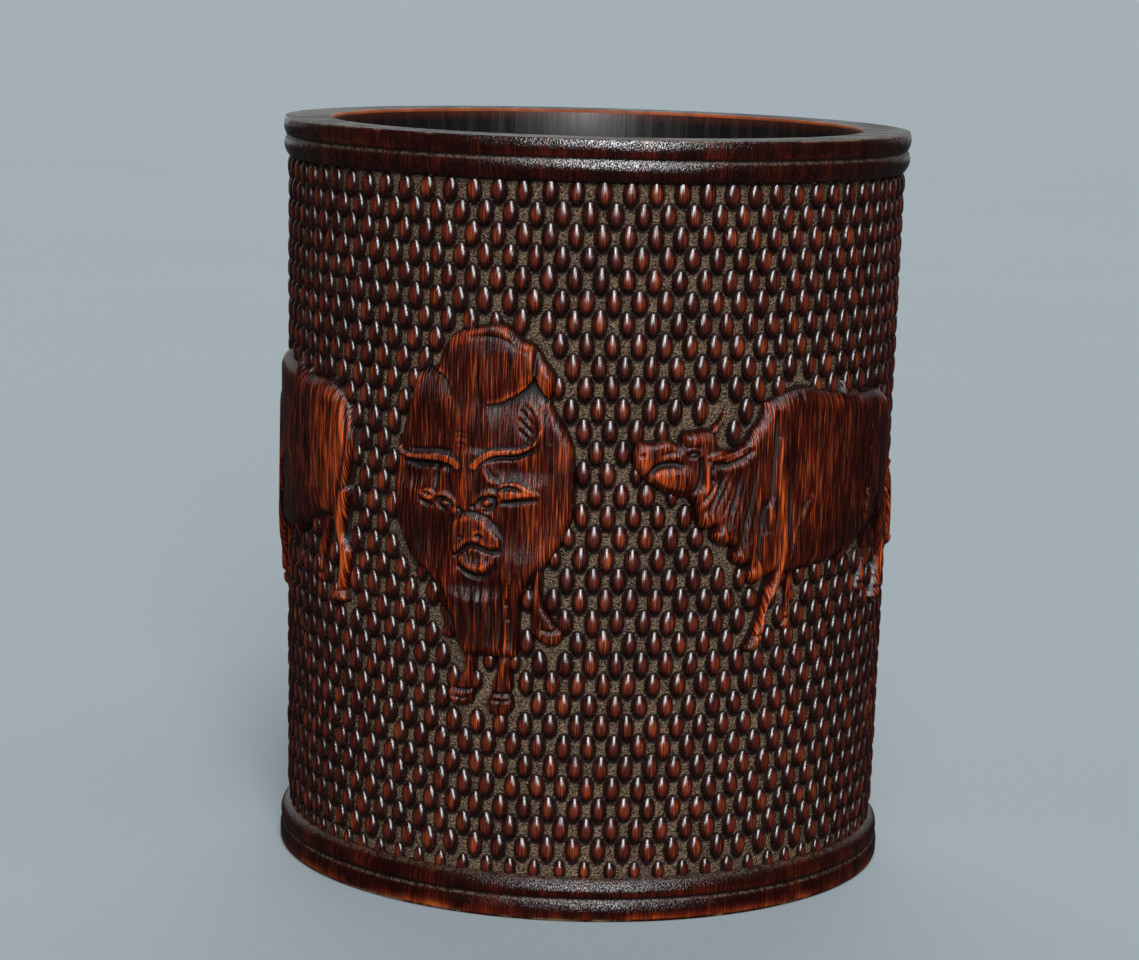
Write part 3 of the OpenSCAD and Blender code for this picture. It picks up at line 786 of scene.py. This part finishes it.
def box_mean(a, cells):
    """Mean over a square of that many cells on each side, edges repeated."""
    for axis in (0, 1):
        pad = [(cells + 1, cells) if k == axis else (0, 0) for k in (0, 1)]
        total = np.cumsum(np.pad(a, pad, mode="edge"), axis=axis)
        first = np.arange(a.shape[axis])
        window = 2 * cells + 1
        a = (np.take(total, first + window, axis) - np.take(total, first, axis)) / window
    return a


def ox_piece(name, ox, spot, base_z, facing, material):
    """The figure as a closed solid whose face is the relief and whose back lies inside the wall."""
    keep = ox.depth > -OX_SKIRT
    cell = keep[:-1, :-1] & keep[1:, :-1] & keep[1:, 1:] & keep[:-1, 1:]
    used = np.zeros_like(keep)
    for a, b in ((0, 0), (1, 0), (1, 1), (0, 1)):
        used[a:a + cell.shape[0], b:b + cell.shape[1]] |= cell
    number = np.full(keep.shape, -1)
    number[used] = np.arange(used.sum())
    i, j = np.nonzero(cell)
    front = np.stack([number[i, j], number[i + 1, j], number[i + 1, j + 1], number[i, j + 1]], -1)
    if facing < 0:
        front = front[:, ::-1]
    edges = np.concatenate([front[:, [k, (k + 1) % 4]] for k in range(4)])
    size = used.sum()
    forward = edges[:, 0] * size + edges[:, 1]
    # an edge that no other face runs along backwards lies on the rim
    rim = edges[~np.isin(forward, edges[:, 1] * size + edges[:, 0])]
    side = np.stack([rim[:, 1], rim[:, 0], rim[:, 0] + size, rim[:, 1] + size], -1)
    u = ox.x[used] * facing + spot
    z = ox.z[used] + base_z
    hand = 0.10 * lattice_noise(u, z, 60, 7.0, seed=11)
    face_r = np.minimum(ground_r(z) + ox.h[used] + hand, LIP_R - 0.05)
    points = np.concatenate([on_pot(u, z, face_r), on_pot(u, z, ground_r(z) - BACK)])
    # worn where the relief stands out from what lies around it, close by and further off; below 0 where it
    # lies deep, darkened there as painted shade
    relief = np.maximum(ox.h, 0)
    stands_out = (relief - box_mean(relief, 4)) * 1.6 + (relief - box_mean(relief, 12)) * 0.5
    values = {"worn": np.clip(stands_out, -1, 1)[used], "edge": np.clip(ox.edge[used], -1, 1.3)}
    new_piece(name, points, np.concatenate([front, front[:, ::-1] + size, side]), [material],
              values={key: np.tile(value, 2) for key, value in values.items()})


# ---------------------------------------------------------------- the wall
def bead(a, b, bulge, steps=10):
    """Points of a bead from a to b, each (radius, height), that bulges outwards."""
    a, b = np.array(a, float), np.array(b, float)
    t = np.linspace(0, 1, steps + 1)[:, None]
    return a + (b - a) * t + np.array([bulge, 0]) * (1 - (2 * t - 1) ** 2)


def lathe_faces(columns, rows):
    """Quads of a closed section of that many points, turned through that many columns."""
    i, j = np.meshgrid(np.arange(columns), np.arange(rows), indexing="ij")
    here, there = i * rows, ((i + 1) % columns) * rows
    return np.stack([here + j, there + j, there + (j + 1) % rows, here + (j + 1) % rows], -1).reshape(-1, 4)


BAND, RIM, LACQUER, FOOT = range(4)      # the culm's materials


def wall_section():
    """The culm's closed section in stretches, each with its material and its points as (radius, height)."""
    low = list(zip(FOOT_R - np.array(FOOT_INSETS), FOOT_BAND))
    high = list(zip(LIP_R - np.array(LIP_INSETS), LIP_BAND))
    foot_edge, sole_edge, lip_edge = FOOT_R - 0.85, FOOT_R - 3.2, LIP_R - 1.0
    rebate_rings, lip_rings = (SHOULDER_Z, 4.0, 0.0), (lip_edge, 71.5, 69, 67, 65.3)
    set_back, clear = 0.8, 0.3       # of the stretch behind the carved ground
    turn = np.linspace(0, math.pi / 2, 6)
    return [
        (FOOT, [*((REBATE_R, z) for z in rebate_rings), (sole_edge, 0.0)]),
        (BAND, [(foot_edge, 0.0)]),
        (BAND, bead(low[0], low[1], 0.55)),
        (BAND, bead(low[1], low[2], 0.95)[1:]),
        (BAND, [(ground_r(z) - set_back, z) for z in (FOOT_BAND[2] + clear, LIP_BAND[0] - clear)]),
        (BAND, bead(high[0], high[1], 0.95)),
        (BAND, bead(high[1], high[2], 0.6)[1:]),
        (RIM, [(r, POT_H) for r in lip_rings]),
        (RIM, np.stack([BORE_R + ARRIS - ARRIS * np.sin(turn), POT_H - ARRIS + ARRIS * np.cos(turn)], -1)),
        (LACQUER, [(BORE_R, z) for z in np.linspace(POT_H - ARRIS, SHOULDER_Z, 24)[1:]])]


def wall_piece(materials):
    """The culm as one closed lathed solid with hand-cut bands, set back where the carved ground covers it."""
    section = wall_section()
    radius, height = np.concatenate([np.asarray(points, float) for _, points in section]).T
    zone = np.concatenate([[kind] * len(points) for kind, points in section])
    rows = len(zone)
    u = np.repeat((np.arange(WALL_COLUMNS) / WALL_COLUMNS * AROUND)[:, None], rows, 1)
    r, z = (np.tile(along, (WALL_COLUMNS, 1)) for along in (radius, height))
    # the knife's unevenness, cut inwards so that the bands stay inside their true radius
    hand = 0.07 * lattice_noise(u, z, 48, 2.4, seed=5) + 0.04 * lattice_noise(u, z, 160, 3.0, seed=6)
    inward, level_foot = 0.12, 1.0
    r = r + np.where((zone == BAND) & (height > level_foot), hand - inward, 0)
    hollow, under, bead_shadow = np.zeros(rows), np.zeros(rows), np.zeros(rows)
    # t runs up each bead: orange shows low on it, dust lies at its top, and its foot is darkened as painted
    # shadow
    beads = ((*FOOT_BAND[:2], 1.0), (*FOOT_BAND[1:], 0.4), (*LIP_BAND[:2], 0.2), (*LIP_BAND[1:], 0.4))
    for bottom, top, orange in beads:
        t = (height - bottom) / (top - bottom)
        on = (t >= 0) & (t <= 1)
        under = np.where(on, orange * smooth(t / 0.1) * smooth(1 - t / 0.62), under)
        hollow = np.where(on, smooth((t - 0.84) / 0.1), hollow)
        bead_shadow = np.where(on, smooth(1 - t / 0.22), bead_shadow)
    # but there is no dust at the lip, less where the ground begins, and no painted shadow at the pot's foot
    hollow[height > LIP_BAND[1] + 1] = 0
    hollow[(height > FOOT_BAND[1] + 1) & (height < LIP_BAND[0])] *= 0.4
    bead_shadow[height < FOOT_BAND[1] - 1] = 0
    bare = smooth(1 - height / 0.9) + 0.4 * smooth((height - POT_H + 0.5) / 0.5)
    values = {"hollow": hollow, "under": under, "bead_shadow": bead_shadow, "bare": bare}
    kind = np.maximum(zone, np.roll(zone, -1))
    new_piece("carved_culm", on_pot(u, z, r), lathe_faces(WALL_COLUMNS, rows), materials,
              np.tile(kind, WALL_COLUMNS),
              {key: np.tile(np.where(zone == BAND, value, 0), WALL_COLUMNS) for key, value in values.items()})


def ground_piece(name, low, high, material, studs, oxen):
    """A closed sleeve of the carved ground. Its painted shade is 0 in the open, and 1 at the foot of a stud
    or ox.
    """
    n = GROUND_COLUMNS
    heights = np.linspace(low, high, GROUND_ROWS)
    u, z = np.meshgrid(np.arange(n) / n * AROUND, heights, indexing="ij")
    hand = 0.14 * lattice_noise(u, z, 120, 3.6, seed=3) + 0.10 * lattice_noise(u, z, 36, 13.0, seed=4)
    # painted shade round each stud, set lower as its painted shadow, round each ox and along the bands; the
    # ground also dips a little under it
    shadow_drop, shade_width, shade_dip = 0.4, 0.30, 0.25
    near, band_gap = 1, 0.4
    gap = studs.distance(u, z + shadow_drop)
    for ox, spot, base_z, facing in oxen:
        x, y = short_way(u - spot) * facing, z - base_z
        close = ((x > ox.low[0] - near) & (x < ox.high[0] + near)
                 & (y > ox.low[1] - near) & (y < ox.high[1] + near))
        gap[close] = np.minimum(gap[close], ox.near(x[close], y[close]))
    gap = np.minimum(gap, np.minimum(z - FOOT_BAND[2], LIP_BAND[0] - z) + band_gap)
    shade = np.exp(-(np.maximum(gap, 0) / shade_width) ** 1.5)
    face_r = ground_r(z) + hand - shade_dip * shade
    ends = heights[[-1, 0]]
    r = np.concatenate([face_r, np.tile(ground_r(ends) - GROUND_THICK, (n, 1))], 1)
    z = np.concatenate([z, np.tile(ends, (n, 1))], 1)
    u = np.concatenate([u, u[:, :2]], 1)
    shade = np.concatenate([shade, np.ones((n, 2))], 1)
    rows = GROUND_ROWS + 2
    new_piece(name, on_pot(u, z, r), lathe_faces(n, rows), [material], values={"shade": shade.ravel()},
              flat=np.tile(np.arange(rows) >= GROUND_ROWS - 1, n))


# ---------------------------------------------------------------- the studs
class Studs:
    """Every stud on its lattice of rows and columns: none under an ox, and small ones close to one."""

    def __init__(self, oxen):
        rng = np.random.default_rng(78)
        self.pitch = AROUND / STUD_COLUMNS
        row, column = np.meshgrid(np.array(STUD_ROWS), np.arange(STUD_COLUMNS), indexing="ij")
        # the rows wander up and down three times round the pot, and each stud is a little off its place
        drift, scatter = 0.35 * np.sin(column / STUD_COLUMNS * 6 * math.pi + 1.3), 0.10
        self.u = STUD_FIRST[0] + (column + 0.5 * (row % 2)) * self.pitch + rng.normal(0, scatter, row.shape)
        self.z = STUD_FIRST[1] + row * STUD_ROW + drift + rng.normal(0, scatter, row.shape)
        self.lean = rng.normal(0, 0.05, row.shape)
        self.tone = rng.uniform(0, 1, row.shape)
        room = np.full(row.shape, 99.0)
        for ox, spot, base_z, facing in oxen:
            room = np.minimum(room, ox.near(short_way(self.u - spot) * facing, self.z - base_z))
        # fit is 1 at full size; the foot band leaves the lowest row small
        fit = np.where(row == STUD_ROWS[0], 0.2, np.clip((room + 0.1) / 1.6, 0, 1))
        self.w, self.h, self.rise = (size * rng.normal(1, uneven, row.shape) * (0.7 + 0.3 * fit)
                                     for size, uneven in zip(STUD_SIZE, (0.03, 0.035, 0.05)))
        self.kept = room > 0.05

    def distance(self, u, z):
        """Rough distance outside the nearest stud's outline."""
        best = np.full(u.shape, 9.0)
        nearest = np.round((z - STUD_FIRST[1]) / STUD_ROW).astype(int) - STUD_ROWS[0]
        for step in (-1, 0, 1):
            row = nearest + step
            known = (row >= 0) & (row < len(STUD_ROWS))
            row = np.clip(row, 0, len(STUD_ROWS) - 1)
            start = (u - STUD_FIRST[0]) / self.pitch - 0.5 * ((row + STUD_ROWS[0]) % 2)
            for side in (0, 1):
                column = (np.floor(start).astype(int) + side) % STUD_COLUMNS
                w, h = self.w[row, column], self.h[row, column]
                reach = np.hypot(short_way(u - self.u[row, column]) / w, (z - self.z[row, column]) / h)
                gap = (reach - 1) * np.minimum(w, h) * 1.15
                best = np.where(known & self.kept[row, column], np.minimum(best, gap), best)
        return best


def stud_rings():
    """Rings of a stud from its foot inside the wall to its top: share of the outline, height, lift."""
    step = 0.3
    rings = [(1.03, -0.6, 0.0), (1.0, 0.0, 0.0), (0.985, step, 0.15)]
    for lift in (0.3, 0.52, 0.72, 0.87, 0.965):
        rings.append((0.97 * math.sqrt(1 - lift ** 2) ** 0.92, step + (STUD_SIZE[2] - step) * lift, lift))
    return rings


def stud_faces(rings):
    """Quads of one stud: its flanks ring by ring, then its flat top and foot."""
    k = np.arange(STUD_CORNERS)
    faces = []
    for ring in range(rings - 1):
        a, b = ring * STUD_CORNERS + k, ring * STUD_CORNERS + (k + 1) % STUD_CORNERS
        faces.append(np.stack([a, b, b + STUD_CORNERS, a + STUD_CORNERS], -1))
    for m in range(STUD_CORNERS // 2 - 1):
        cap = np.array([[m, m + 1, STUD_CORNERS - 2 - m, STUD_CORNERS - 1 - m]])
        faces += [cap + (rings - 1) * STUD_CORNERS, cap[:, ::-1]]
    return np.concatenate(faces)


def stud_pieces(studs, material):
    """The studs as closed solids, in four bands of rows."""
    corner = np.arange(STUD_CORNERS) / STUD_CORNERS * 2 * math.pi
    rings = stud_rings()
    one = stud_faces(len(rings))
    scale, height, lift = (np.array(v)[:, None] for v in zip(*rings))
    for number, rows in enumerate(np.array_split(np.arange(len(STUD_ROWS)), 4)):
        points, faces, tones = [], [], []
        for i in rows:
            for j in np.nonzero(studs.kept[i])[0]:
                cx = studs.w[i, j] * np.cos(corner) * (1 - 0.16 * np.abs(np.sin(corner)) ** 2)
                cz = studs.h[i, j] * np.sin(corner)
                lean = studs.lean[i, j]
                u = studs.u[i, j] + (cx - cz * lean) * scale
                z = studs.z[i, j] + (cz + cx * lean) * scale
                level = np.where(height > 0, height * studs.rise[i, j] / STUD_SIZE[2], height)
                faces.append(one + len(points) * len(rings) * STUD_CORNERS)
                points.append(on_pot(u, z, ground_r(studs.z[i, j]) + level))
                tones.append(np.full(u.size, studs.tone[i, j]))
        lifts = np.tile(np.repeat(lift.ravel(), STUD_CORNERS), len(points))
        new_piece(f"studs_{number + 1}", np.concatenate(points), np.concatenate(faces), [material],
                  values={"lift": lifts, "tone": np.concatenate(tones)})


# ---------------------------------------------------------------- build
def side_ox(head, horn_outline, horn_width, strokes, shade_and_stain):
    """A figure seen from its side: the body that all of them share, with its own head and horn."""
    layers = [(outline, RELIEF, 4.5) for outline in (FORE_BODY, REAR_BODY)]
    layers += [(leg, 2.7, 1.6) for leg in NEAR_LEGS] + [(leg, 1.5, 1.2) for leg in FAR_LEGS]
    return Ox(layers + [(head, RELIEF, 2.6), (horn_outline, 1.9, horn_width)], BODY_CUTS + strokes, shade_and_stain)


def build():
    front_layers = [(FRONT_BODY, RELIEF - 0.3, 2.8)] + [(leg, 2.0, 1.5) for leg in FRONT_LEGS]
    front = Ox(front_layers, FRONT_CUTS, FRONT_SHADE_AND_STAIN)
    raised = side_ox(RAISED_HEAD, RAISED_HORN, 0.7, RAISED_CUTS, RAISED_SHADE_AND_STAIN)
    lowered = side_ox(LOWERED_HEAD, LOWERED_HORN, 0.9, LOWERED_CUTS, LOWERED_SHADE_AND_STAIN)
    # each figure with its place along u, the height where its z starts, and -1 where it is mirrored
    oxen = {"ox_head_on": (front, -25.0, FRONT_OX_Z, 1), "ox_right": (raised, 55.0, SIDE_OX_Z, 1),
            "ox_back_right": (lowered, 157.0, SIDE_OX_Z, 1), "ox_back_left": (raised, 260.0, SIDE_OX_Z, -1),
            "ox_left": (lowered, -102.0, SIDE_OX_Z, 1)}
    ox_look = ox_material()
    for name, placed in oxen.items():
        ox_piece(name, *placed, ox_look)
    studs = Studs(oxen.values())
    wall_piece([band_material(), rim_material(), lacquer_material(), foot_material()])
    ground_look = ground_material()
    middle = (FOOT_BAND[2] + LIP_BAND[0]) / 2
    ground_piece("carved_ground_low", FOOT_BAND[2] - GROUND_LAP, middle, ground_look, studs, oxen.values())
    ground_piece("carved_ground_high", middle, LIP_BAND[0] + GROUND_LAP, ground_look, studs, oxen.values())
    stud_pieces(studs, stud_material())
    for name, material in (("base_board", board_material()), ("base_pins", pin_material())):
        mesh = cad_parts[name].data
        mesh.materials.clear()
        mesh.materials.append(material)


# ---------------------------------------------------------------- stage
def floor():
    half = 40.0
    corners = [(-half, -half, 0), (half, -half, 0), (half, half, 0), (-half, half, 0)]
    mesh = bpy.data.meshes.new("floor")
    mesh.from_pydata(corners, [], [(0, 1, 2, 3)])
    piece = bpy.data.objects.new("floor", mesh)
    bpy.context.scene.collection.objects.link(piece)
    look = Look("pale_floor")
    clouds = look.noise(look.place, 3.0, 2.0)
    base = clouds.blend((0.190, 0.215, 0.227), (0.202, 0.228, 0.240))
    mesh.materials.append(look.done(base, 0.9, specular=0.1))
    piece.visible_glossy = False


def soft_light(name, azimuth, elevation, width, strength):
    """A far-off soft light, angles in degrees: azimuth 0 shines from the front and 90 from the right."""
    data = bpy.data.lights.new(name, "SUN")
    data.angle = math.radians(width)
    data.energy = strength
    data.color = (0.93, 0.97, 1.0)
    lamp = bpy.data.objects.new(name, data)
    a, e = math.radians(azimuth), math.radians(elevation)
    towards = Vector((math.sin(a) * math.cos(e), -math.cos(a) * math.cos(e), math.sin(e)))
    lamp.rotation_mode = "QUATERNION"
    lamp.rotation_quaternion = towards.to_track_quat("Z", "Y")
    bpy.context.scene.collection.objects.link(lamp)


def lights():
    """A tall strip of light in front, broad weak fills and a dim pale surround."""
    for number, (elevation, strength) in enumerate(((9, 1.2), (24, 1.6), (39, 1.7), (54, 1.4), (70, 0.8))):
        soft_light(f"strip_{number + 1}", 5, elevation, 22, strength)
    soft_light("overhead", 42, 70, 40, 0.7)
    soft_light("strip_back", 180, 52, 40, 1.4)
    soft_light("fill_back", 180, 25, 70, 0.16)
    soft_light("fill_left", -165, 22, 50, 0.3)
    soft_light("fill_right", 166, 22, 50, 0.2)
    world = bpy.data.worlds.new("studio")
    world.use_nodes = True
    surround = world.node_tree.nodes["Background"]
    surround.inputs["Color"].default_value = (0.62, 0.68, 0.72, 1)
    surround.inputs["Strength"].default_value = 0.05
    bpy.context.scene.world = world
    bpy.context.scene.view_settings.view_transform = "Standard"


def camera():
    """The photograph's viewing angle: from 0.76 m in front and 0.21 m up, looking a little down."""
    data = bpy.data.cameras.new("camera")
    data.sensor_width = 36.0
    data.lens = 99.8
    eye = bpy.data.objects.new("camera", data)
    yaw, pitch, roll = math.radians(-0.335), math.radians(9.327), math.radians(1.57)
    ahead = Vector((math.sin(yaw) * math.cos(pitch), math.cos(yaw) * math.cos(pitch), -math.sin(pitch)))
    level = Vector((math.cos(yaw), -math.sin(yaw), 0))
    upright = level.cross(ahead)
    right = math.cos(roll) * level + math.sin(roll) * upright
    up = math.cos(roll) * upright - math.sin(roll) * level
    turn = Matrix((right, up, -ahead)).transposed()
    eye.matrix_world = Matrix.Translation((0.0, -0.7601, 0.2138)) @ turn.to_4x4()
    bpy.context.scene.collection.objects.link(eye)
    bpy.context.scene.camera = eye


build()
floor()
lights()
camera()
